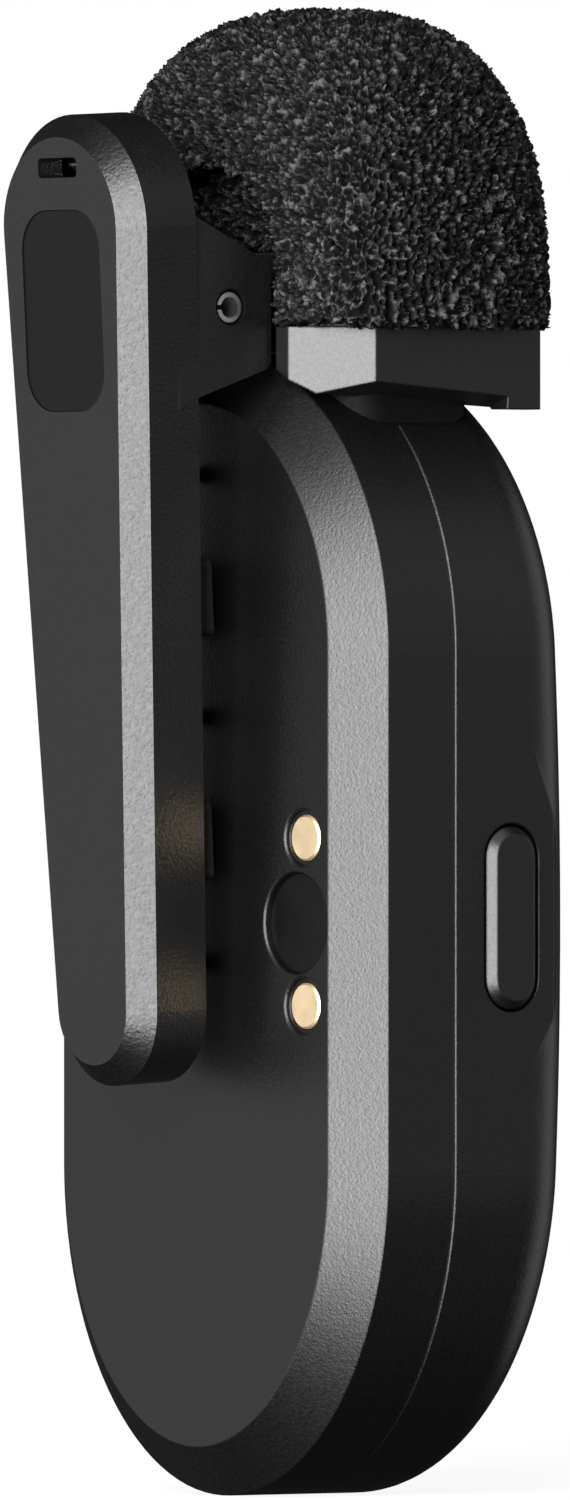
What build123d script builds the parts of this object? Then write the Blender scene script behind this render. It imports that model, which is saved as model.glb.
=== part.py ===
"""Clip-on wireless lavalier microphone: transmitter body, microphone neck, spring clip and foam windscreen.

Millimetres. +Z is up along the body, -Y is the front face, +Y is the clip side, the mute button is on -X.
Every part is drawn with Z = 0 at the bottom of the body and Y = 0 on its flat back face. save() then
moves the origin up the back face to the point where the clip's lowest nub grips.
"""
from build123d import *
import math
import os

# ---------------------------------------------------------------- driving dimensions
BODY_HALF_WIDTH = 10.6
BODY_HEIGHT = 45.8
BODY_DEPTH = 11.7            # at the crown of the front face
BOTTOM_ROUND = 13.2          # height of the elliptical lower end
TOP_ROUND = 12.0             # height of the elliptical upper end
BACK_CHAMFER = (2.0, 1.5)    # across the back face, then along the sides
FRONT_FILLET = 2.8
CROWN_RADIUS = 222.0         # the front face is slightly crowned along Z
CROWN_Z = 23.0
WALL = 1.6                   # side wall, measured in from the outline
BACK_WALL = 1.3
FRONT_WALL = 1.2
PARTING_Y = -4.9             # joint line between the rear and front housings
PARTING_BEVEL = 0.06
CLEARANCE = 0.05             # sliding fit between plastic parts

GRIP_HEIGHT = 21.3           # height of the lowest grip nub, where the origin sits

CONTACT_X = -6.96
CONTACT_HEIGHTS = (19.7, 26.4)
CONTACT_R = 0.92
CONTACT_RECESS_R = 1.12
CONTACT_RECESS = 0.25
DISC_X = -6.5
DISC_Z = 23.0
DISC_R = 2.0
DISC_RECESS = 0.32
RIM_BEVEL = 0.07             # round the recesses of the disc and the contacts

BUTTON_Y = -7.76
BUTTON_Z = 23.2
BUTTON_WIDTH = 2.5
BUTTON_LENGTH = 7.3
BUTTON_PROUD = 0.28
BUTTON_GAP = 0.13
BUTTON_TRAVEL = 0.3
BOSS_CHAMFER = 1.75          # front edge of the raised flat round the button
BOSS_EDGE_Y = (-8.6, -10.0)  # its sloping ends run between these two depths
BOSS_TOP_Z = (30.8, 27.1)
BOSS_BOTTOM_Z = (16.9, 19.3)
BOSS_FRONT_Y = -10.8         # by here the chamfer has run in under the body's front fillet

NECK_HALF_WIDTH = 6.8
NECK_BACK_Y = -2.6
NECK_FRONT_Y = -9.3
NECK_CORNER = 1.8
NECK_FOOT_Z = 38.4
NECK_FLANGE = 1.0
NECK_TOP_Z = 49.0
CAPSULE_R = 2.2
CAPSULE_HEIGHT = 2.2
BOOT_R = 2.75

COLLAR_HALF_WIDTH = 7.9
COLLAR_BACK_Y = -0.5
COLLAR_FRONT_Y = -11.5
COLLAR_CHAMFER = 2.5
COLLAR_BOTTOM_Z = 43.95
COLLAR_POINT_X = 6.1         # the underside is lowest here, between the arch and the side
COLLAR_SIDE_Z = 44.6
COLLAR_CORNER = 0.15
COLLAR_FALL = 0.75           # how much lower the underside is at the front than at the back
COLLAR_TOP_Z = 46.8
COLLAR_BODY_GAP = 0.45
UPSTAND_INSET = 0.7
UPSTAND_TOP_Z = 49.8
LIP_Y = -9.7                 # the deeper front lip starts here
LIP_DROP = 0.4

PIN_Y = 1.54
PIN_Z = 47.56
PIN_R = 0.6
PIN_BORE_R = 0.42
PIN_COUNTERBORE_R = 0.75
EAR_OUTER_X = 4.3
EAR_INNER_X = 2.95
KNUCKLE_X = (1.5, 2.8)
KNUCKLE_R = 1.55
EAR_RECESS_Y = -1.5          # back of the collar is set in here to clear the ears

ARM_TOP_Z = 55.4
ARM_TIP_Z = 16.6
ARM_TOP_R = 4.55
ARM_TIP_R = 3.1
ARM_THICKNESS = 3.37
ARM_CHAMFER = 0.88
ARM_WALL = 1.2
ARM_FACE = 1.2
ARM_TILT = 3.0               # degrees; the jaw is widest at the hinge
ARM_TIP_Y = 1.69             # inner face at the height of the arm's tip
THUMB_PAD = (5.0, 8.0)
THUMB_PAD_Z = 47.6
GRIP_BAR_HEIGHTS = (35.9, 26.2)
GRIP_NUB_HEIGHTS = (40.8, 31.1, 21.3)
GRIP_BAR = 3.1
GRIP_GAP = 0.12              # from the back face to the grip at rest

FOAM_HALF_WIDTH = 9.2
FOAM_BACK_Y = -0.3
FOAM_FRONT_Y = -12.8
FOAM_TOP_Z = 59.6
FOAM_SPRING_Z = 49.0         # the dome's curve starts here
FOAM_ROUNDNESS = 2.35        # 2 is an ellipse; higher is squarer
ARCH_SPRING_Z = 49.5         # the arched recess round the ears
ARCH_TOP_Z = 53.2
RING_WALL = 0.45

BOARD_BACK_Y = -5.4
BOARD_THICKNESS = 0.8
SCREW_PLACES = ((5.4, 35.2), (-5.4, 10.0))
# middle x and z, then width and height, of each chip
CHIP_PLACES = (
    (-0.4, 27.5, 4, 4), (4.1, 27.5, 3, 3), (1.2, 22.6, 2.4, 1.8), (2.6, 15.8, 3, 3), (-3, 14, 1.6, 1),
)
LEAF_WIDTH = 1.2
LEAF_THICKNESS = 0.15


# ---------------------------------------------------------------- helpers
def outline(inset=0.0):
    """The body's front outline, drawn in XZ and facing -Y: straight sides with half-ellipse ends."""
    half = BODY_HALF_WIDTH - inset
    low, high = BOTTOM_ROUND, BODY_HEIGHT - TOP_ROUND
    top_arc = EllipticalCenterArc((0, high), half, TOP_ROUND - inset, start_angle=0, arc_size=180)
    low_arc = EllipticalCenterArc((0, low), half, BOTTOM_ROUND - inset, start_angle=180, arc_size=180)
    left = Line((-half, high), (-half, low))
    right = Line((half, low), (half, high))
    return Plane.XZ * make_face(Curve() + [top_arc, left, low_arc, right])


def slab(inset, from_y, to_y):
    """The outline made into a slab between two depths, the nearer to the back first."""
    return Pos(0, from_y, 0) * extrude(outline(inset), amount=from_y - to_y)


def block(x0, x1, y0, y1, z0, z1):
    size = (abs(x1 - x0), abs(y1 - y0), abs(z1 - z0))
    return Pos((x0 + x1) / 2, (y0 + y1) / 2, (z0 + z1) / 2) * Box(*size)


def rod_y(x, z, radius, from_y, to_y):
    """A cylinder along Y."""
    centre = Pos(x, (from_y + to_y) / 2, z)
    return centre * Rot(90, 0, 0) * Cylinder(radius, abs(to_y - from_y))


def rod_x(y, z, radius, from_x, to_x):
    """A cylinder along X."""
    centre = Pos((from_x + to_x) / 2, y, z)
    return centre * Rot(0, 90, 0) * Cylinder(radius, abs(to_x - from_x))


def stadium_x(y, z, width, length, from_x, to_x):
    """A stadium-shaped plug along X, long in Z."""
    face = Plane(origin=(from_x, y, z), x_dir=(0, 0, 1), z_dir=(1, 0, 0)) * SlotOverall(length, width)
    return extrude(face, amount=to_x - from_x, dir=(1, 0, 0))


def prism_x(points, from_x, to_x):
    """A YZ polygon extruded along X."""
    wire = Polyline([(from_x, y, z) for y, z in points], close=True)
    return extrude(make_face(wire), amount=to_x - from_x, dir=(1, 0, 0))


def plan_prism(half_x, back_y, front_y, z0, z1, corner):
    """A rounded rectangle in plan, extruded upwards."""
    plan = Pos(0, (back_y + front_y) / 2, z0) * RectangleRounded(2 * half_x, back_y - front_y, corner)
    return extrude(plan, amount=z1 - z0)


def save(node, shape):
    solids = shape.solids()
    placed = Compound(children=[Pos(0, 0, -GRIP_HEIGHT) * solid for solid in solids])
    export_step(placed if len(solids) > 1 else Pos(0, 0, -GRIP_HEIGHT) * solids[0], f"parts/{node}.step")


# ---------------------------------------------------------------- housings
def crown(depth):
    """The space behind a crowned front surface that reaches this depth at its middle."""
    return rod_x(CROWN_RADIUS - depth, CROWN_Z, CROWN_RADIUS, -20, 20)


def body_blank():
    """The whole body's outside: chamfered at the back, crowned and filleted at the front."""
    blank = slab(0, 0, -BODY_DEPTH)
    back = blank.faces().sort_by(Axis.Y)[-1]
    blank = chamfer(back.edges(), *BACK_CHAMFER, reference=back)
    blank &= crown(BODY_DEPTH)
    return fillet(blank.faces().sort_by(Axis.Y)[0].edges(), FRONT_FILLET)


def button_boss():
    """The side's flat carried further forward round the button, with sloping ends."""
    blank = slab(0, PARTING_Y - 1, -BODY_DEPTH) & crown(BODY_DEPTH)
    blank = chamfer(blank.faces().sort_by(Axis.Y)[0].edges(), BOSS_CHAMFER)
    (y0, y1), (top0, top1), (low0, low1) = BOSS_EDGE_Y, BOSS_TOP_Z, BOSS_BOTTOM_Z
    reach = (BOSS_FRONT_Y - y0) / (y1 - y0)
    top_end = top0 + (top1 - top0) * reach
    low_end = low0 + (low1 - low0) * reach
    ends = [(y0, low0), (y0, top0), (BOSS_FRONT_Y, top_end), (BOSS_FRONT_Y, low_end)]
    region = prism_x(ends, -BODY_HALF_WIDTH - 1, -BODY_HALF_WIDTH + 3)
    return blank & region


def neck_opening():
    return plan_prism(
        NECK_HALF_WIDTH + CLEARANCE, NECK_BACK_Y + CLEARANCE, NECK_FRONT_Y - CLEARANCE,
        NECK_FOOT_Z - 1, NECK_TOP_Z, NECK_CORNER + CLEARANCE,
    )


def rear_housing():
    shell = body_blank() & block(-20, 20, PARTING_Y, 5, -5, 60)
    shell = chamfer(outer_edges(shell, PARTING_Y), PARTING_BEVEL)
    shell -= slab(WALL, -BACK_WALL, PARTING_Y - 1)
    shell -= neck_opening()
    for z in CONTACT_HEIGHTS:
        shell -= rod_y(CONTACT_X, z, CONTACT_RECESS_R, 1, -CONTACT_RECESS)
        shell -= rod_y(CONTACT_X, z, CONTACT_R + 0.02, 1, -3)
    shell -= rod_y(DISC_X, DISC_Z, DISC_R, 1, -DISC_RECESS - 0.3)
    rims = [e for e in shell.edges().filter_by(GeomType.CIRCLE) if abs(e.arc_center.Y) < 1e-4]
    return chamfer(rims, RIM_BEVEL)


def outer_edges(shell, depth):
    """The outline's edges on the plane at this depth."""
    return [e for e in shell.edges() if all(abs(v.Y - depth) < 1e-4 for v in (e @ 0, e @ 0.5, e @ 1))]


def front_housing():
    shell = body_blank() & block(-20, 20, PARTING_Y, -BODY_DEPTH - 5, -5, 60)
    shell = chamfer(outer_edges(shell, PARTING_Y), PARTING_BEVEL)
    shell += button_boss()
    shell -= slab(WALL, PARTING_Y + 1, -BODY_DEPTH + FRONT_WALL) & crown(BODY_DEPTH - FRONT_WALL)
    shell -= neck_opening()
    window = (BUTTON_WIDTH + 2 * BUTTON_GAP, BUTTON_LENGTH + 2 * BUTTON_GAP)
    shell -= stadium_x(BUTTON_Y, BUTTON_Z, *window, -BODY_HALF_WIDTH - 1, -BODY_HALF_WIDTH + 3)
    board_front = BOARD_BACK_Y - BOARD_THICKNESS
    for x, z in SCREW_PLACES:
        shell += rod_y(x, z, 1.5, board_front, -BODY_DEPTH + FRONT_WALL + 0.3)
        shell -= rod_y(x, z, 0.55, board_front + 1, -9.4)
    return shell


def housing_gasket():
    """Thin seal just inside the parting line, broken where the neck stands."""
    ring = slab(WALL + 0.05, PARTING_Y + 0.35, PARTING_Y - 0.35)
    ring -= slab(WALL + 0.55, PARTING_Y + 1, PARTING_Y - 1)
    gap = block(-NECK_HALF_WIDTH - 1.2, NECK_HALF_WIDTH + 1.2, 0, -BODY_DEPTH, NECK_FOOT_Z - 1, 60)
    return ring - gap


# ---------------------------------------------------------------- microphone neck
def microphone_neck():
    neck = plan_prism(NECK_HALF_WIDTH, NECK_BACK_Y, NECK_FRONT_Y, NECK_FOOT_Z, NECK_TOP_Z, NECK_CORNER)
    neck = chamfer(neck.faces().sort_by(Axis.Z)[-1].edges(), 0.4)
    flange = plan_prism(NECK_HALF_WIDTH + 0.4, NECK_BACK_Y + 0.4, NECK_FRONT_Y - 0.4,
                        NECK_FOOT_Z, NECK_FOOT_Z + NECK_FLANGE - CLEARANCE - 0.3, NECK_CORNER)
    neck += flange
    middle = (NECK_BACK_Y + NECK_FRONT_Y) / 2
    neck -= Pos(0, middle, NECK_TOP_Z) * Cylinder(BOOT_R, 9.6)
    neck -= plan_prism(5.6, NECK_BACK_Y - 1, NECK_FRONT_Y + 1, NECK_FOOT_Z - 1, 43.2, 0.8)
    return neck - Pos(0, middle, 43.5) * Cylinder(1.6, 3)


def capsule_place(z):
    return Pos(0, (NECK_BACK_Y + NECK_FRONT_Y) / 2, z)


def microphone_capsule():
    can = capsule_place(46.4) * Cylinder(CAPSULE_R, CAPSULE_HEIGHT)
    can = fillet(can.edges().sort_by(Axis.Z)[-1], 0.2)
    ports = [Pos(0.7 * math.cos(a), 0.7 * math.sin(a), 0) for a in (0, math.tau / 3, 2 * math.tau / 3)]
    for port in ports:
        can -= capsule_place(47.4) * port * Cylinder(0.18, 0.5)
    return can


def capsule_boot():
    boot = capsule_place(45.95) * Cylinder(BOOT_R - 0.02, 3.4)
    boot -= capsule_place(46.5) * Cylinder(CAPSULE_R, 2.4)
    return boot - capsule_place(45) * Cylinder(1.3, 3)


def microphone_grille():
    """Perforated steel disc pressed into the mouth of the neck."""
    disc = capsule_place(48.75) * Cylinder(BOOT_R - 0.02, 0.2)
    holes = [capsule_place(48.75) * Cylinder(0.2, 1)]
    for count, radius in ((6, 0.75), (12, 1.5), (16, 2.2)):
        for i in range(count):
            a = math.tau * i / count
            holes.append(capsule_place(48.75) * Pos(radius * math.cos(a), radius * math.sin(a), 0)
                         * Cylinder(0.2, 1))
    return disc - holes


def capsule_flex():
    """Flat ribbon from the capsule down to the board's front face."""
    middle = (NECK_BACK_Y + NECK_FRONT_Y) / 2
    front = BOARD_BACK_Y - BOARD_THICKNESS
    ribbon = block(-1.1, 1.1, front - 0.02, front - 0.14, 34.5, 40.4)
    ribbon += block(-1.1, 1.1, middle, front - 0.14, 40.3, 40.42)
    return ribbon + block(-1.1, 1.1, middle - 0.06, middle + 0.06, 40.3, 45.25)


# ---------------------------------------------------------------- parts on the back face
def charging_contacts():
    pads = Part()
    for z in CONTACT_HEIGHTS:
        pad = rod_y(CONTACT_X, z, CONTACT_R, -0.12, -BACK_WALL - 0.3)
        pad = chamfer(pad.edges().sort_by(Axis.Y)[-1], 0.08)
        pads += pad
    return pads


def contact_springs():
    """A bent leaf from each pad to the board."""
    leaves = Part()
    for z in CONTACT_HEIGHTS:
        left, right = CONTACT_X - LEAF_WIDTH / 2, CONTACT_X + LEAF_WIDTH / 2
        foot = BOARD_BACK_Y + 0.02
        leaves += block(left, right, -1.62, -1.62 - LEAF_THICKNESS, z - 1, z + 1)
        leaves += block(left, right, -1.62, foot, z + 1 - LEAF_THICKNESS, z + 1)
        leaves += block(left, right, foot + LEAF_THICKNESS, foot, z - 0.6, z + 1)
    return leaves


def locating_disc():
    return rod_y(DISC_X, DISC_Z, DISC_R - 0.02, -DISC_RECESS, -DISC_RECESS - 0.3)


def docking_magnet():
    return rod_y(DISC_X, DISC_Z, DISC_R - 0.2, -BACK_WALL - 0.02, -BACK_WALL - 1.3)


# ---------------------------------------------------------------- electronics
def main_board():
    board = slab(WALL + 0.9, BOARD_BACK_Y, BOARD_BACK_Y - BOARD_THICKNESS)
    board &= block(-20, 20, 0, -20, 4.5, 37.8)
    board -= block(-20, -7.42, 0, -20, BUTTON_Z - 5, BUTTON_Z + 5)
    for x, z in SCREW_PLACES:
        board -= rod_y(x, z, 0.8, 0, -20)
    return board


def board_screws():
    screws = Part()
    for x, z in SCREW_PLACES:
        head = rod_y(x, z, 1.25, BOARD_BACK_Y + 0.75, BOARD_BACK_Y)
        head -= block(x - 0.75, x + 0.75, BOARD_BACK_Y + 1, BOARD_BACK_Y + 0.4, z - 0.15, z + 0.15)
        head -= block(x - 0.15, x + 0.15, BOARD_BACK_Y + 1, BOARD_BACK_Y + 0.4, z - 0.75, z + 0.75)
        screws += head + rod_y(x, z, 0.55, BOARD_BACK_Y, -9.2)
    return screws


def board_chips():
    """Radio, audio and power chips and the crystal, under the shield and beside it."""
    front = BOARD_BACK_Y - BOARD_THICKNESS
    chips = Part()
    for x, z, width, height in CHIP_PLACES:
        chips += block(x - width / 2, x + width / 2, front, front - 0.75, z - height / 2, z + height / 2)
    return chips


def rf_shield():
    front = BOARD_BACK_Y - BOARD_THICKNESS
    can = block(-3.2, 6.8, front, front - 1.6, 20.4, 31.2)
    can = fillet(can.edges().filter_by(Axis.Y), 0.5)
    return can - block(-3, 6.6, front + 1, front - 1.4, 20.6, 31)


def antenna():
    """Stamped strip standing off the bottom of the board."""
    front = BOARD_BACK_Y - BOARD_THICKNESS
    strip = block(-3.9, 3.9, front - 2.2, front - 2.4, 5.2, 7)
    strip += block(-3.9, -3.1, front - 2.2, front - 2.4, 5.2, 9.4)
    strip += block(3.1, 3.9, front - 2.2, front - 2.4, 5.2, 9.4)
    return strip + block(3.1, 3.9, front, front - 2.4, 9.2, 9.4)


def tact_switch():
    front = BOARD_BACK_Y - BOARD_THICKNESS
    return block(-7.1, -4.9, front, front - 2.6, BUTTON_Z - 2, BUTTON_Z + 2) + rod_x(
        BUTTON_Y, BUTTON_Z, 0.55, -7.42, -7
    )


def battery():
    cell = block(-4, 7.8, -1.65, -5.1, 9, 32.6)
    return fillet(cell.edges().filter_by(Axis.Z), 0.8)


def battery_tape():
    return block(-3, 6.8, -BACK_WALL - 0.03, -1.63, 11, 29)


def battery_protection_board():
    return block(-3, 5, -3, -3.7, 32.7, 34.6) + block(-1, 3, -3.7, -4.6, 33, 34.3)


# ---------------------------------------------------------------- mute button
def mute_button():
    face_x = -BODY_HALF_WIDTH - BUTTON_PROUD
    wall_x = -BODY_HALF_WIDTH + WALL
    cap = stadium_x(BUTTON_Y, BUTTON_Z, BUTTON_WIDTH, BUTTON_LENGTH, face_x, wall_x + 0.2)
    cap = chamfer(cap.faces().sort_by(Axis.X)[0].edges(), 0.32)
    cap += stadium_x(BUTTON_Y, BUTTON_Z, BUTTON_WIDTH + 0.7, BUTTON_LENGTH + 1, wall_x + 0.04, wall_x + 0.4)
    return cap + rod_x(BUTTON_Y, BUTTON_Z, 0.5, wall_x + 0.3, wall_x + 0.62)


def button_seal():
    """Silicone web between the button and its switch."""
    web_x = -BODY_HALF_WIDTH + WALL + 0.62 + BUTTON_TRAVEL + 0.04
    web = stadium_x(BUTTON_Y, BUTTON_Z, BUTTON_WIDTH + 1.2, BUTTON_LENGTH + 1.6, web_x, web_x + 0.2)
    return web + rod_x(BUTTON_Y, BUTTON_Z, 0.55, web_x + 0.2, -7.44)


# ---------------------------------------------------------------- clip bracket
def collar_plan(inset, z0, z1):
    """The collar's plan: square front corners just broken, rear corners cut at 45 degrees."""
    half, back, front = COLLAR_HALF_WIDTH - inset, COLLAR_BACK_Y - inset, COLLAR_FRONT_Y + inset
    cut = COLLAR_CHAMFER - 0.586 * inset
    corner = COLLAR_CORNER
    right = [(half - corner, front), (half, front + corner), (half, back - cut), (half - cut, back)]
    left = [(-x, y) for x, y in reversed(right)]
    plan = Polyline(right + left, close=True)
    return Pos(0, 0, z0) * extrude(make_face(plan), amount=z1 - z0)


def clip_bracket():
    bracket = collar_plan(0, COLLAR_BOTTOM_Z - LIP_DROP, COLLAR_TOP_Z)
    bracket += collar_plan(UPSTAND_INSET, COLLAR_TOP_Z - 1, UPSTAND_TOP_Z)
    # behind the front lip the underside rises towards each side, and falls slightly towards the front
    fall = math.degrees(math.atan(COLLAR_FALL / (COLLAR_BACK_Y - LIP_Y)))
    for side in (-1, 1):
        rise = (COLLAR_SIDE_Z - COLLAR_BOTTOM_Z) / (COLLAR_HALF_WIDTH - COLLAR_POINT_X)
        far = COLLAR_HALF_WIDTH + 2
        far_z = COLLAR_BOTTOM_Z + rise * (far - COLLAR_POINT_X)
        under = [(side * 4, COLLAR_BOTTOM_Z), (side * COLLAR_POINT_X, COLLAR_BOTTOM_Z), (side * far, far_z),
                 (side * far, 38), (side * 4, 38)]
        face = Plane.XZ * make_face(Polyline(under, close=True))
        cut = Pos(0, 3, 0) * extrude(face, amount=3 - LIP_Y)
        pivot = Pos(0, COLLAR_BACK_Y - COLLAR_CHAMFER, COLLAR_BOTTOM_Z)
        bracket -= pivot * Rot(fall, 0, 0) * pivot.inverse() * cut
    # rear wall set in behind the ears, with two knuckles for the pin
    bracket -= block(-EAR_OUTER_X - 0.3, EAR_OUTER_X + 0.3, EAR_RECESS_Y, 5, 40, UPSTAND_TOP_Z + 1)
    for side in (-1, 1):
        near, far = side * KNUCKLE_X[0], side * KNUCKLE_X[1]
        bracket += rod_x(PIN_Y, PIN_Z, KNUCKLE_R, near, far)
        bracket += block(near, far, PIN_Y, EAR_RECESS_Y - 0.4, PIN_Z - KNUCKLE_R, PIN_Z + KNUCKLE_R)
    bracket -= rod_x(PIN_Y, PIN_Z, PIN_R + CLEARANCE, -6, 6)
    bracket -= plan_prism(
        NECK_HALF_WIDTH + CLEARANCE, NECK_BACK_Y + CLEARANCE, NECK_FRONT_Y - CLEARANCE,
        40, 60, NECK_CORNER + CLEARANCE,
    )
    return bracket - slab(-COLLAR_BODY_GAP, 5, -BODY_DEPTH - 5)


# ---------------------------------------------------------------- clip arm
def arm_plane(lift=0.0):
    """Plane on the arm's inner face. Local X is -X, local Y runs up the arm, the normal points outwards."""
    tilt = math.radians(ARM_TILT)
    normal = Vector(0, math.cos(tilt), -math.sin(tilt))
    return Plane(origin=Vector(0, ARM_TIP_Y, ARM_TIP_Z) + normal * lift, x_dir=(-1, 0, 0), z_dir=normal)


def arm_outline(inset=0.0):
    """A tapered stadium: the hull of a large circle at the top and a smaller one at the tip."""
    length = (ARM_TOP_Z - ARM_TIP_Z) / math.cos(math.radians(ARM_TILT))
    top = Pos(0, length - ARM_TOP_R) * Circle(ARM_TOP_R - inset)
    tip = Pos(0, ARM_TIP_R) * Circle(ARM_TIP_R - inset)
    return make_hull(top.edges() + tip.edges())


def arm_inner_y(z):
    """Depth of the arm's inner face at a height."""
    return ARM_TIP_Y + (z - ARM_TIP_Z) * math.tan(math.radians(ARM_TILT))


def arm_pocket():
    inner = extrude(arm_plane(-1) * arm_outline(ARM_WALL), amount=1 + ARM_THICKNESS - ARM_FACE)
    return inner


def clip_arm():
    arm = extrude(arm_plane() * arm_outline(), amount=ARM_THICKNESS)
    outer = arm.faces().sort_by(Axis.Y)[-1]
    arm = chamfer(outer.edges(), ARM_CHAMFER)
    arm -= arm_pocket()
    inner = arm_inner_y(PIN_Z)
    ear = [(inner + 0.8, PIN_Z + 4.1), (inner + 0.1, PIN_Z + 3.65), (COLLAR_BACK_Y + 0.2, PIN_Z + 1.85),
           (COLLAR_BACK_Y, PIN_Z + 1.5), (COLLAR_BACK_Y, PIN_Z - 2.2), (COLLAR_BACK_Y + 0.2, PIN_Z - 2.45),
           (inner + 0.1, PIN_Z - 3.7), (inner + 0.8, PIN_Z - 4.1)]
    for side in (-1, 1):
        arm += prism_x(ear, side * EAR_INNER_X, side * EAR_OUTER_X)
        arm -= rod_x(PIN_Y, PIN_Z, PIN_COUNTERBORE_R, side * (EAR_OUTER_X - 0.4), side * (EAR_OUTER_X + 1))
    arm -= rod_x(PIN_Y, PIN_Z, PIN_R, -6, 6)
    arm -= extrude(arm_plane(ARM_THICKNESS - 0.4) * thumb_pad_outline(0.03), amount=2)
    return arm - extrude(arm_plane() * slot_outline(), amount=ARM_THICKNESS + 1)


def along_arm(z):
    """Distance up the arm from its tip at a height."""
    return (z - ARM_TIP_Z) / math.cos(math.radians(ARM_TILT))


def thumb_pad_outline(grow=0.0):
    width, height = THUMB_PAD
    outline = RectangleRounded(width + 2 * grow, height + 2 * grow, 1.6 + grow)
    return Pos(0, along_arm(THUMB_PAD_Z)) * outline


def slot_outline():
    return Pos(0, along_arm(53.3)) * RectangleRounded(2.5, 0.8, 0.2)


def thumb_pad():
    return extrude(arm_plane(ARM_THICKNESS - 0.38) * thumb_pad_outline(), amount=0.33)


def grip_strip():
    """Rubber liner in the arm's pocket, with two bars and three nubs that press on the garment."""
    low, high = 19.0, 42.4
    depth = ARM_THICKNESS - ARM_FACE
    base = Pos(0, (along_arm(low) + along_arm(high)) / 2) * RectangleRounded(3.2, high - low, 1)
    strip = extrude(arm_plane(0.5) * base, amount=depth - 0.52)
    for z in GRIP_BAR_HEIGHTS:
        tip = arm_inner_y(z) - GRIP_GAP - 0.55
        bar = arm_plane(-tip) * (Pos(0, along_arm(z)) * RectangleRounded(4, GRIP_BAR, 0.3))
        strip += extrude(bar, amount=tip + 0.7)
    for z in GRIP_NUB_HEIGHTS:
        tip = (arm_inner_y(z) - GRIP_GAP) / math.cos(math.radians(ARM_TILT)) - 0.02
        nub = arm_plane(-tip) * (Pos(0, along_arm(z)) * Circle(0.4))
        nub = extrude(nub, amount=tip + 0.7)
        strip += chamfer(nub.edges().sort_by(Axis.Y)[0], 0.15)
    return strip


def hinge_roll_pin():
    """Slotted spring pin, a press fit in the arm's ears."""
    end = EAR_OUTER_X - 0.1
    pin = rod_x(PIN_Y, PIN_Z, PIN_R, -end, end) - rod_x(PIN_Y, PIN_Z, PIN_BORE_R, -6, 6)
    return pin - block(-6, 6, PIN_Y, PIN_Y + 2, PIN_Z - 0.1, PIN_Z + 0.1)


def torsion_spring():
    """Coil round the pin. One leg bears on the bracket's rear wall, the other hooks into the arm's slot."""
    wire_r, coil_r, pitch, turns = 0.17, 0.92, 0.42, 4.5
    height = pitch * turns
    coil_path = Pos(-height / 2, PIN_Y, PIN_Z) * Rot(0, 90, 0) * Helix(pitch, height, coil_r)
    start = coil_path @ 0
    section = Plane(origin=start, z_dir=coil_path % 0) * Circle(wire_r)
    coil = sweep(section, path=coil_path, is_frenet=True)
    end = coil_path @ 1
    rear_leg = leg(start, Vector(start.X, EAR_RECESS_Y + 0.35, start.Z), wire_r)
    hook = Vector(end.X, arm_inner_y(53.3) + ARM_THICKNESS - ARM_FACE - 0.4, 53.3)
    front_leg = leg(end, hook, wire_r)
    bar = leg(hook + Vector(wire_r, 0, 0), hook - Vector(height, 0, 0), wire_r)
    return coil + rear_leg + front_leg + bar


def leg(a, b, radius):
    """A straight wire from a to b."""
    return extrude(Plane(origin=a, z_dir=b - a) * Circle(radius), amount=(b - a).length)


# ---------------------------------------------------------------- windscreen
def foam_section(z):
    """The foam's rounded-rectangle plan at a height: straight below FOAM_SPRING_Z, a full dome above it."""
    up = max(0.0, (z - FOAM_SPRING_Z) / (FOAM_TOP_Z + 0.05 - FOAM_SPRING_Z))
    size = (1 - up ** FOAM_ROUNDNESS) ** (1 / FOAM_ROUNDNESS)
    half_x = FOAM_HALF_WIDTH * size
    half_y = (FOAM_BACK_Y - FOAM_FRONT_Y) / 2 * size
    corner = half_y * (0.45 + 0.5 * up)
    return Pos(0, (FOAM_BACK_Y + FOAM_FRONT_Y) / 2, z) * RectangleRounded(2 * half_x, 2 * half_y, corner)


def foam_windscreen():
    """Open-cell dome on a stiff ring, hollow over the collar's upstand and the neck."""
    heights = (COLLAR_TOP_Z + 0.05, FOAM_SPRING_Z, 51.5, 54, 56, 57.6, 58.7, 59.3, FOAM_TOP_Z)
    foam = loft([foam_section(z) for z in heights])
    ring_inset = UPSTAND_INSET - CLEARANCE - RING_WALL - 0.02
    foam -= collar_plan(ring_inset, COLLAR_TOP_Z - 1, UPSTAND_TOP_Z - 0.95)
    foam -= collar_plan(UPSTAND_INSET - CLEARANCE, COLLAR_TOP_Z - 1, UPSTAND_TOP_Z + 0.4)
    half, back = EAR_OUTER_X + 0.5, EAR_RECESS_Y - 0.05
    foam -= block(-half, half, back, 5, 40, ARCH_SPRING_Z)
    arch = Plane.XZ * Pos(0, ARCH_SPRING_Z) * Ellipse(half, ARCH_TOP_Z - ARCH_SPRING_Z)
    return foam - Pos(0, 5, 0) * extrude(arch, amount=5 - back)


def windscreen_ring():
    """Stiff ring bonded inside the foam; it slides over the collar's upstand."""
    ring = collar_plan(UPSTAND_INSET - CLEARANCE - RING_WALL, COLLAR_TOP_Z + 0.1, UPSTAND_TOP_Z - 1)
    ring -= collar_plan(UPSTAND_INSET - CLEARANCE, COLLAR_TOP_Z - 1, UPSTAND_TOP_Z)
    recess = EAR_OUTER_X + 0.5
    return ring - block(-recess, recess, EAR_RECESS_Y - 0.05, 5, 40, 52)


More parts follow.
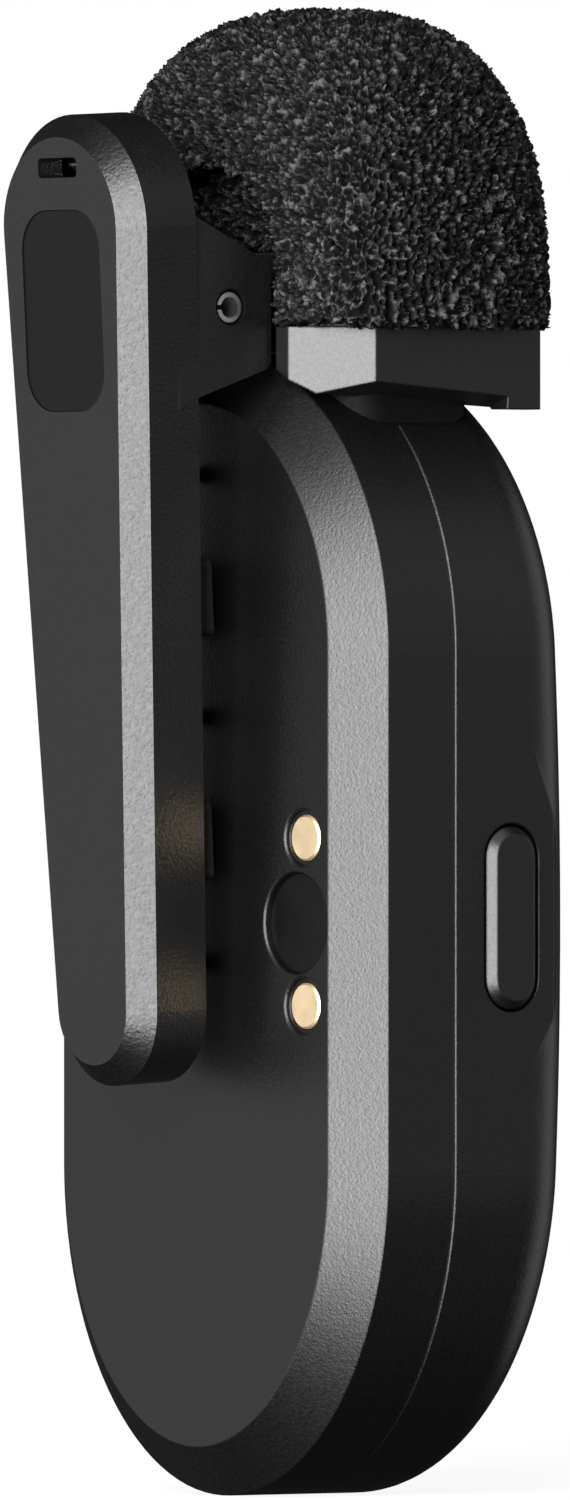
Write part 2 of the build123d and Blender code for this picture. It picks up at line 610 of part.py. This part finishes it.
# ---------------------------------------------------------------- build
PARTS = (
    rear_housing, front_housing, housing_gasket, microphone_neck, microphone_capsule, capsule_boot,
    microphone_grille, capsule_flex, charging_contacts, contact_springs, locating_disc, docking_magnet,
    main_board, board_screws, board_chips, rf_shield, antenna, tact_switch, battery, battery_tape,
    battery_protection_board, mute_button, button_seal, clip_bracket, clip_arm, thumb_pad, grip_strip,
    hinge_roll_pin, torsion_spring, foam_windscreen, windscreen_ring,
)

os.makedirs("parts", exist_ok=True)
for make in PARTS:
    save(make.__name__, make())
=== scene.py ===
"""The looks of a clip-on lavalier microphone: camera, light, materials and the open-cell foam."""
import math

import bmesh
import bpy
import numpy as np
from mathutils import Euler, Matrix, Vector, kdtree


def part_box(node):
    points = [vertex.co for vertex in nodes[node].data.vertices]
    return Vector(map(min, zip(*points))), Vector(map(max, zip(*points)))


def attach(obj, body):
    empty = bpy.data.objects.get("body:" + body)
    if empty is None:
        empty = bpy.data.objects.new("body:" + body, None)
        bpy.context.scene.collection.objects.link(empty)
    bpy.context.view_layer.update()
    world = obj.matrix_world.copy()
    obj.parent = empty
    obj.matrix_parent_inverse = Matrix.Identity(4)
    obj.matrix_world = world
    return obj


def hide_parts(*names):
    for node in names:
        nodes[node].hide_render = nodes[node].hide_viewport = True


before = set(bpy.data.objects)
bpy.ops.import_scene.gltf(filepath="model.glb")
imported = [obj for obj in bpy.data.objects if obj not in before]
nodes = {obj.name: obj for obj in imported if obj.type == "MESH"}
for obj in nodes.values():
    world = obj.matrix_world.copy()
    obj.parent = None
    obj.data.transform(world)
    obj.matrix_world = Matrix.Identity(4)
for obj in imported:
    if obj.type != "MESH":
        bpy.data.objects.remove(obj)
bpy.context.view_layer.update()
MM = 0.001


# ---------------------------------------------------------------- camera, stage and light
VIEW_AZIMUTH = math.radians(142)           # of the camera seen from the object, counted from +X
VIEW_FROM = Vector((math.cos(VIEW_AZIMUTH), math.sin(VIEW_AZIMUTH), 0))
CAMERA_DISTANCE = 1.0
FRAME_HEIGHT = 0.0601                      # what the picture's height takes in at the object
AIM = Vector((-2.2, -2.84, 8.6)) * MM
FLOOR_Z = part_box("rear_housing")[0][2] - 0.02 * MM
FLOOR_RADIUS = 0.16
FLOOR_GREY = 0.12                          # of the floor's own surface
FLOOR_GLOW = 0.9                           # how pale it looks to the camera
ROOM_GREY = 0.015                          # what the object reflects where no softbox stands


def aim_at(obj, place, target):
    """Stands a camera or light at place and turns it to target."""
    obj.location = place
    obj.rotation_euler = (Vector(target) - Vector(place)).to_track_quat("-Z", "Y").to_euler()


def make_camera():
    data = bpy.data.cameras.new("camera")
    data.sensor_fit = "AUTO"
    data.sensor_width = 36
    data.lens = data.sensor_width * CAMERA_DISTANCE / FRAME_HEIGHT
    data.clip_start = 0.01
    camera = bpy.data.objects.new("camera", data)
    bpy.context.scene.collection.objects.link(camera)
    aim_at(camera, AIM + VIEW_FROM * CAMERA_DISTANCE, AIM)
    bpy.context.scene.camera = camera


def softbox(name, direction, distance, size, radiance):
    """A softbox of that width and height in metres, seen from the microphone in that direction.
    Its radiance is 1 where it would show as white in a mirror."""
    data = bpy.data.lights.new(name, "AREA")
    data.shape = "RECTANGLE"
    data.size, data.size_y = size
    data.energy = radiance * math.pi * size[0] * size[1]
    light = bpy.data.objects.new(name, data)
    bpy.context.scene.collection.objects.link(light)
    aim_at(light, AIM + Vector(direction).normalized() * distance, AIM)


def make_lights():
    """The front softbox draws the bright chamfers and the foam's strands; the panels lift the flat faces."""
    softbox("front_softbox", (-0.56, 0.83, 0.09), 0.8, (0.42, 1.05), 19)
    softbox("back_panel", (0.21, 0.98, 0.0), 0.9, (0.4, 1.0), 3.0)
    softbox("left_panel", (0.8, 0.6, 0.0), 0.9, (0.9, 1.2), 0.6)
    softbox("right_panel", (-0.78, -0.6, 0.36), 0.9, (0.3, 0.9), 0.7)
    softbox("top_panel", (-0.35, 0.1, 1.0), 0.8, (0.5, 0.6), 1.8)
    softbox("far_panel", (-0.2, -1.0, 0.0), 0.9, (0.6, 1.0), 0.8)


def make_world():
    """Pale behind the object, and a weak grey in what the object reflects."""
    world = bpy.data.worlds.new("studio")
    bpy.context.scene.world = world
    world.use_nodes = True
    tree = world.node_tree
    background = tree.nodes["Background"]
    path = tree.nodes.new("ShaderNodeLightPath")
    strength = tree.nodes.new("ShaderNodeMapRange")
    strength.inputs["To Min"].default_value = ROOM_GREY
    strength.inputs["To Max"].default_value = 1.0
    tree.links.new(path.outputs["Is Camera Ray"], strength.inputs["Value"])
    tree.links.new(strength.outputs["Result"], background.inputs["Strength"])
    background.inputs["Color"].default_value = (1, 1, 1, 1)


def make_floor():
    """A plain pale disc that holds back none of the light from below."""
    mesh = bpy.data.meshes.new("floor")
    grid = bmesh.new()
    bmesh.ops.create_circle(grid, cap_ends=True, radius=FLOOR_RADIUS, segments=96)
    grid.to_mesh(mesh)
    grid.free()
    floor = bpy.data.objects.new("floor", mesh)
    floor.location = (0, 0, FLOOR_Z)
    bpy.context.scene.collection.objects.link(floor)
    material = bpy.data.materials.new("floor")
    material.use_nodes = True
    tree = material.node_tree
    shader = tree.nodes["Principled BSDF"]
    shader.inputs["Base Color"].default_value = (FLOOR_GREY, FLOOR_GREY, FLOOR_GREY, 1)
    shader.inputs["Roughness"].default_value = 0.9
    path = tree.nodes.new("ShaderNodeLightPath")
    tree.links.new(path.outputs["Is Camera Ray"], shader.inputs["Emission Strength"])
    shader.inputs["Emission Color"].default_value = (FLOOR_GLOW, FLOOR_GLOW, FLOOR_GLOW, 1)
    mesh.materials.append(material)
    floor.visible_glossy = floor.visible_shadow = floor.visible_diffuse = False


# ---------------------------------------------------------------- material helpers
class Shader:
    """A principled material with short ways to add nodes to it."""

    def __init__(self, name, **sockets):
        self.material = bpy.data.materials.new(name)
        self.material.use_nodes = True
        self.tree = self.material.node_tree
        self.bsdf = self.tree.nodes["Principled BSDF"]
        for key, value in sockets.items():
            self.bsdf.inputs[key.replace("_", " ")].default_value = value
        self.coords = self.node("ShaderNodeTexCoord").outputs["Object"]

    def node(self, kind, **settings):
        made = self.tree.nodes.new(kind)
        for key, value in settings.items():
            setattr(made, key, value)
        return made

    def link(self, a, b):
        self.tree.links.new(a, b)

    def noise(self, size_mm, detail=2.0, roughness=0.5, stretch=(1, 1, 1)):
        mapping = self.node("ShaderNodeMapping")
        mapping.inputs["Scale"].default_value = stretch
        self.link(self.coords, mapping.inputs["Vector"])
        noise = self.node("ShaderNodeTexNoise")
        noise.inputs["Scale"].default_value = 1 / (size_mm * MM)
        noise.inputs["Detail"].default_value = detail
        noise.inputs["Roughness"].default_value = roughness
        self.link(mapping.outputs["Vector"], noise.inputs["Vector"])
        return noise.outputs["Fac"]

    def cells(self, size_mm):
        cells = self.node("ShaderNodeTexVoronoi")
        cells.inputs["Scale"].default_value = 1 / (size_mm * MM)
        self.link(self.coords, cells.inputs["Vector"])
        return cells.outputs["Distance"]

    def spread(self, value, low, high, from_low=0.3, from_high=0.7):
        """The value's usual range mapped to low..high."""
        span = self.node("ShaderNodeMapRange")
        limits = {"From Min": from_low, "From Max": from_high, "To Min": low, "To Max": high}
        for key, number in limits.items():
            span.inputs[key].default_value = number
        self.link(value, span.inputs["Value"])
        return span.outputs["Result"]

    def colours(self, value, *stops):
        """A ramp of (place, colour) stops driven by value, linked to the base colour."""
        ramp = self.node("ShaderNodeValToRGB")
        while len(ramp.color_ramp.elements) < len(stops):
            ramp.color_ramp.elements.new(0.5)
        for element, (place, colour) in zip(ramp.color_ramp.elements, stops):
            element.position = place
            element.color = (*colour, 1)
        self.link(value, ramp.inputs["Fac"])
        self.link(ramp.outputs["Color"], self.bsdf.inputs["Base Color"])

    def rough(self, value, low, high):
        self.link(self.spread(value, low, high), self.bsdf.inputs["Roughness"])

    def bump(self, *layers, edge_mm=0.0):
        """Bump from (value, depth in micrometres) layers, the coarsest first.
        With edge_mm, the light also sees every edge as rounded by that radius."""
        normal = None
        if edge_mm:
            rounded = self.node("ShaderNodeBevel", samples=6)
            rounded.inputs["Radius"].default_value = edge_mm * MM
            normal = rounded.outputs["Normal"]
        for value, depth in layers:
            bump = self.node("ShaderNodeBump")
            bump.inputs["Distance"].default_value = depth * 1e-6
            bump.inputs["Strength"].default_value = 1.0
            self.link(value, bump.inputs["Height"])
            if normal:
                self.link(normal, bump.inputs["Normal"])
            normal = bump.outputs["Normal"]
        self.link(normal, self.bsdf.inputs["Normal"])


def grey(level):
    """A grey with a trace of blue."""
    return (level, level, level * 1.03)


def satin_plastic(name, level, grain_mm, depth, roughness=(0.36, 0.46), specular=0.5, edge_mm=0.12):
    """Black moulded plastic with a fine spark-eroded grain."""
    shader = Shader(name, Specular_IOR_Level=specular)
    grain = shader.noise(grain_mm, 3, 0.6)
    fine = shader.cells(grain_mm * 0.7)
    haze = shader.noise(4.0, 3)
    shader.colours(haze, (0.3, grey(level * 0.88)), (0.7, grey(level * 1.12)))
    shader.rough(grain, *roughness)
    shader.bump((haze, 4), (grain, depth), (fine, depth * 0.5), edge_mm=edge_mm)
    return shader.material


def rubber(name, level):
    """Matt moulded rubber with a little dust."""
    shader = Shader(name)
    grain = shader.noise(0.25, 4, 0.7)
    dust = shader.noise(1.6, 5, 0.7)
    shader.colours(dust, (0.4, grey(level)), (0.75, grey(level * 1.5)))
    shader.rough(dust, 0.62, 0.8)
    shader.bump((grain, 12))
    return shader.material


def metal(name, colour, roughness=(0.2, 0.32), lines=(1, 1, 14), depth=3, stained=0.9):
    """Drawn or plated metal with faint stains. lines says how much finer its grain is along each axis."""
    shader = Shader(name, Metallic=1.0)
    drawn = shader.noise(0.12, 4, 0.6, lines)
    stain = shader.noise(1.2, 5, 0.65)
    dull = tuple(c * stained for c in colour)
    shader.colours(stain, (0.35, dull), (0.65, colour))
    shader.rough(stain, *roughness)
    shader.bump((drawn, depth))
    return shader.material


def smooth_plastic(name, colour, roughness=(0.18, 0.26), specular=0.5):
    """Plastic or film without a grain, faintly smeared."""
    shader = Shader(name, Specular_IOR_Level=specular)
    smear = shader.noise(1.5, 4, 0.6)
    shader.colours(smear, (0.3, tuple(c * 0.85 for c in colour)), (0.7, colour))
    shader.rough(smear, *roughness)
    shader.bump((shader.noise(0.5, 2), 1.5))
    return shader.material


def laminate(name):
    """Circuit board: green mask over copper tracks, with tinned vias."""
    shader = Shader(name)
    tracks = shader.node("ShaderNodeTexBrick")
    tracks.inputs["Scale"].default_value = 1 / (2.2 * MM)
    tracks.inputs["Mortar Size"].default_value = 0.06
    turned = shader.node("ShaderNodeMapping")
    turned.inputs["Rotation"].default_value = (math.radians(90), 0, 0)
    shader.link(shader.coords, turned.inputs["Vector"])
    shader.link(turned.outputs["Vector"], tracks.inputs["Vector"])
    vias = shader.spread(shader.cells(1.1), 1, 0, 0.08, 0.14)
    mask = shader.node("ShaderNodeMath", operation="MAXIMUM")
    shader.link(tracks.outputs["Fac"], mask.inputs[0])
    shader.link(vias, mask.inputs[1])
    base, track, tinned = (0.008, 0.07, 0.03), (0.02, 0.16, 0.07), (0.5, 0.42, 0.2)
    shader.colours(mask.outputs[0], (0.0, base), (0.6, track), (1.0, tinned))
    shader.rough(shader.noise(0.6), 0.3, 0.42)
    shader.bump((mask.outputs[0], 20))
    return shader.material


def foil(name, colour):
    """Wrinkled battery pouch."""
    shader = Shader(name, Metallic=0.8)
    crease = shader.noise(3.0, 6, 0.6)
    shader.colours(crease, (0.35, tuple(c * 0.8 for c in colour)), (0.65, colour))
    shader.rough(crease, 0.28, 0.45)
    shader.bump((crease, 180), (shader.noise(0.3), 6))
    return shader.material


# ---------------------------------------------------------------- finishes for the CAD nodes
def paint(material, *names):
    """Gives each of these nodes this one material."""
    for name in names:
        slots = nodes[name].data.materials
        if not slots:
            slots.append(material)
        for i in range(len(slots)):
            slots[i] = material


def finish_nodes():
    body = satin_plastic("body_satin_black", 0.0012, 0.16, 9, (0.33, 0.41))
    paint(body, "rear_housing", "front_housing")
    paint(satin_plastic("neck_black", 0.001, 0.2, 6, (0.6, 0.7), 0.1), "microphone_neck", "windscreen_ring")
    paint(satin_plastic("bracket_satin_black", 0.0022, 0.14, 4, (0.34, 0.4)), "clip_bracket")
    paint(satin_plastic("clip_satin_black", 0.0018, 0.2, 18, (0.36, 0.44), edge_mm=0), "clip_arm")
    paint(satin_plastic("button_satin_black", 0.002, 0.12, 4, (0.36, 0.44)), "mute_button")
    paint(satin_plastic("switch_plastic", 0.05, 0.1, 3), "tact_switch", "board_chips")
    paint(rubber("seal_rubber", 0.02), "housing_gasket", "capsule_boot", "button_seal")
    paint(rubber("grip_rubber", 0.003), "grip_strip")
    paint(smooth_plastic("pad_inlay", (0.0012, 0.0012, 0.0013), (0.34, 0.44), 0.2), "thumb_pad")
    paint(smooth_plastic("disc_gloss", (0.0015, 0.0015, 0.0016), (0.36, 0.44), 0.25), "locating_disc")
    paint(smooth_plastic("flex_film", (0.42, 0.17, 0.02)), "capsule_flex")
    paint(smooth_plastic("tape_film", (0.62, 0.62, 0.58), (0.5, 0.6)), "battery_tape")
    paint(metal("gold_plate", (0.97, 0.77, 0.5), (0.46, 0.54), (1, 1, 1), 2, 0.95), "charging_contacts")
    paint(metal("spring_brass", (0.78, 0.6, 0.3)), "contact_springs", "antenna")
    paint(metal("nickel", (0.72, 0.71, 0.67)), "docking_magnet", "microphone_capsule")
    paint(metal("tinned_steel", (0.66, 0.66, 0.66), (0.3, 0.45)), "rf_shield", "board_screws")
    paint(metal("pin_steel", (0.6, 0.6, 0.61), (0.25, 0.38), (14, 1, 1)), "hinge_roll_pin")
    paint(metal("spring_steel", (0.42, 0.42, 0.44), (0.2, 0.3)), "torsion_spring")
    paint(metal("grille_steel", (0.12, 0.12, 0.125), (0.35, 0.5)), "microphone_grille")
    paint(laminate("board_laminate"), "main_board", "battery_protection_board")
    paint(foil("battery_foil", (0.6, 0.6, 0.62)), "battery")


# ---------------------------------------------------------------- foam windscreen
FOAM_SEED = 7
FOAM_VOXEL = 0.113 * MM
FOAM_HALF_X = 9.25 * MM
FOAM_HALF_Y = 6.25 * MM
FOAM_CENTRE_Y = -6.55 * MM
FOAM_STRAIGHT = 1.2 * MM                       # height of the straight skirt below the dome
DOME_ROUNDNESS = 2.9                           # of the side view; 2 is an ellipse, higher is squarer
PLAN_ROUNDNESS = (4.0, 2.3)                    # of the view from above, at the rim and at the top
DOME_RINGS = 60
DOME_STEPS = 128
EAR_ARCH = (4.5 * MM, 28.2 * MM, 31.9 * MM)    # half-width, foot and top of the arch round the clip's ears
ARCH_STEPS = 24
EAR_DEPTH = -1.9 * MM                          # Y of the recess's floor
RING_GRIP = 0.4 * MM                           # how far the ring is sunk into the foam
ROOM_ABOVE_RING = 1.2 * MM
PORE_SIZE = 0.33 * MM
PORE_DEPTH = 0.4 * MM
PORE_SPREAD = (0.55, 1.0)                      # shares of that depth that single pores have
PORE_TURN = (0.6, 0.5, 0.4)                    # turns the pores' grid off the foam's own axes
STRAND_RAISE = 0.16 * MM
STRAND_SPREAD = (-0.6, 1.0)                    # shares of that height that single cells give their strands
KNOT_RAISE = 0.6                               # the share that a knot adds
STRAND_EDGE = (0.05, 0.34)                     # from a strand's crest to a pore's floor, in pore sizes
KNOT_EDGE = (0.05, 0.35)                       # the same from a knot, where strands meet


def foam_blank():
    """The smooth outside of the foam: squarish rings that close into a dome."""
    low, high = (corner.z for corner in map(Vector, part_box("foam_windscreen")))
    spring = low + FOAM_STRAIGHT
    at_rim, at_top = PLAN_ROUNDNESS
    mesh = bmesh.new()
    rows = []
    for i in range(DOME_RINGS):
        z = low + (high - low) * math.sin(i / DOME_RINGS * math.pi / 2)
        up = max(0.0, (z - spring) / (high - spring))
        size = (1 - up ** DOME_ROUNDNESS) ** (1 / DOME_ROUNDNESS)
        power = at_top + (at_rim - at_top) * (1 - up ** 2)
        row = []
        for k in range(DOME_STEPS):
            turn = math.tau * k / DOME_STEPS
            c, s = math.cos(turn), math.sin(turn)
            reach = size * (abs(c) ** power + abs(s) ** power) ** (-1 / power)
            row.append(mesh.verts.new((FOAM_HALF_X * reach * c, FOAM_CENTRE_Y + FOAM_HALF_Y * reach * s, z)))
        rows.append(row)
    top = mesh.verts.new((0, FOAM_CENTRE_Y, high))
    for lower, upper in zip(rows, rows[1:]):
        for k in range(DOME_STEPS):
            after = (k + 1) % DOME_STEPS
            mesh.faces.new((lower[k], lower[after], upper[after], upper[k]))
    for k in range(DOME_STEPS):
        mesh.faces.new((rows[-1][k], rows[-1][(k + 1) % DOME_STEPS], top))
    mesh.faces.new(list(reversed(rows[0])))
    return new_object("foam_dome", mesh)


def new_object(name, mesh):
    """An object in the scene, made from a bmesh."""
    data = bpy.data.meshes.new(name)
    mesh.to_mesh(data)
    mesh.free()
    made = bpy.data.objects.new(name, data)
    bpy.context.scene.collection.objects.link(made)
    return made


def cutter(name, outline, back, front):
    """A prism along Y from an outline of (x, z) corners."""
    mesh = bmesh.new()
    face = mesh.faces.new([mesh.verts.new((x, back, z)) for x, z in outline])
    drawn = bmesh.ops.extrude_face_region(mesh, geom=[face])["geom"]
    for v in drawn:
        if isinstance(v, bmesh.types.BMVert):
            v.co.y = front
    bmesh.ops.recalc_face_normals(mesh, faces=mesh.faces)
    return new_object(name, mesh)


def apply_modifiers(obj):
    """Replaces the object's mesh by the one its modifiers make."""
    graph = bpy.context.evaluated_depsgraph_get()
    made = bpy.data.meshes.new_from_object(obj.evaluated_get(graph))
    obj.modifiers.clear()
    obj.data = made


def hollow(foam):
    """Cuts the room for the ring and the neck, and the recess behind for the clip's ears."""
    ring_low, ring_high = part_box("windscreen_ring")
    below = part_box("foam_windscreen")[0][2] - MM      # the cutters run on past the foam's rim
    left, right = ring_low[0] + RING_GRIP, ring_high[0] - RING_GRIP
    roof = ring_high[2] + ROOM_ABOVE_RING
    room = [(left, below), (right, below), (right, roof), (left, roof)]
    half, foot, top = EAR_ARCH
    turns = [math.pi * k / ARCH_STEPS for k in range(ARCH_STEPS + 1)]
    arch = [(-half, below), (half, below)]
    arch += [(half * math.cos(a), foot + (top - foot) * math.sin(a)) for a in turns]
    cuts = (
        cutter("ring_room", room, ring_low[1] + RING_GRIP, ring_high[1] - RING_GRIP),
        cutter("ear_room", arch, EAR_DEPTH, 5 * MM),
    )
    for cut in cuts:
        boolean = foam.modifiers.new(cut.name, "BOOLEAN")
        boolean.operation = "DIFFERENCE"
        boolean.solver = "EXACT"
        boolean.object = cut
    apply_modifiers(foam)
    for cut in cuts:
        bpy.data.objects.remove(cut)
    remesh = foam.modifiers.new("voxels", "REMESH")
    remesh.mode = "VOXEL"
    remesh.voxel_size = FOAM_VOXEL * 1.0
    apply_modifiers(foam)


def smoothstep(low, high, value):
    """0 up to low, 1 from high on, and smooth between."""
    t = np.clip((value - low) / (high - low), 0, 1)
    return t * t * (3 - 2 * t)


def pore_centres(low, high, rng):
    """Cell centres scattered through the box: a grid turned off the foam's faces, then shaken."""
    middle, reach = (low + high) / 2, np.linalg.norm(high - low) / 2
    steps = np.arange(-reach, reach, PORE_SIZE)
    grid = np.stack(np.meshgrid(steps, steps, steps, indexing="ij"), -1).reshape(-1, 3)
    grid = grid @ np.array(Euler(PORE_TURN).to_matrix()) + middle
    grid += rng.uniform(-0.5, 0.5, grid.shape) * PORE_SIZE
    inside = np.all((grid > low - PORE_SIZE) & (grid < high + PORE_SIZE), axis=1)
    return grid[inside]


def open_pores(foam):
    """Sinks a pit at every cell and leaves the walls between cells standing as uneven strands."""
    rng = np.random.default_rng(FOAM_SEED)
    data = foam.data
    count = len(data.vertices)
    points = np.empty(count * 3)
    normals = np.empty(count * 3)
    data.vertices.foreach_get("co", points)
    data.vertices.foreach_get("normal", normals)
    points, normals = points.reshape(-1, 3), normals.reshape(-1, 3)
    centres = pore_centres(points.min(0), points.max(0), rng)
    tree = kdtree.KDTree(len(centres))
    for i, centre in enumerate(centres):
        tree.insert(centre, i)
    tree.balance()
    nearest = np.array([[(d, j) for _, j, d in tree.find_n(p, 3)] for p in points])
    distance, cell = nearest[:, :, 0] / PORE_SIZE, nearest[:, 0, 1].astype(int)
    other = nearest[:, 1, 1].astype(int)
    deep = rng.uniform(*PORE_SPREAD, len(centres))
    tall = rng.uniform(*STRAND_SPREAD, len(centres))
    pit = smoothstep(*STRAND_EDGE, distance[:, 1] - distance[:, 0])
    knot = 1 - smoothstep(*KNOT_EDGE, distance[:, 2] - distance[:, 0])
    raised = STRAND_RAISE * (1 - pit) * (0.5 * (tall[cell] + tall[other]) + KNOT_RAISE * knot)
    shift = raised - PORE_DEPTH * pit * deep[cell]
    points += normals * shift[:, None]
    data.vertices.foreach_set("co", points.reshape(-1))
    # how deep each pit is: the foam material paints the pits dark with it as shade and makes them rougher
    depth = data.attributes.new("pore", "FLOAT", "POINT")
    depth.data.foreach_set("value", np.clip(pit * (0.6 + 0.4 * deep[cell]), 0, 1))
    data.update()
    data.shade_smooth()


def foam_material():
    """Black reticulated foam: satin strands, brighter in places, over pores painted dark as shade, the
    darker the deeper the pit.
    """
    shader = Shader("open_cell_foam", Specular_IOR_Level=0.16)
    pore = shader.node("ShaderNodeAttribute", attribute_name="pore").outputs["Fac"]
    # painted shade: the base colour darkens with each pit's depth (the pore attribute), times random patches
    # that make some strands brighter than others
    pit_shade_and_patches = shader.node("ShaderNodeMath", operation="MULTIPLY")
    shader.link(shader.spread(pore, 1, 0, 0.0, 0.7), pit_shade_and_patches.inputs[0])
    shader.link(shader.spread(shader.noise(0.35, 3, 0.6), 0.1, 1.0, 0.38, 0.64), pit_shade_and_patches.inputs[1])
    shader.colours(pit_shade_and_patches.outputs[0], (0.1, grey(0.0003)), (0.45, grey(0.004)), (0.95, grey(0.06)))
    shader.rough(pore, 0.5, 0.95)
    shader.bump((shader.cells(0.12), 25), (shader.noise(0.09, 2), 15))
    return shader.material


def make_foam():
    """The open-cell foam that stands in for the smooth foam_windscreen."""
    foam = foam_blank()
    hollow(foam)
    open_pores(foam)
    foam.data.materials.append(foam_material())
    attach(foam, "windscreen")
    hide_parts("foam_windscreen")


# ---------------------------------------------------------------- build
bpy.context.scene.view_settings.view_transform = "Standard"
make_camera()
make_world()
make_floor()
make_lights()
finish_nodes()
make_foam()
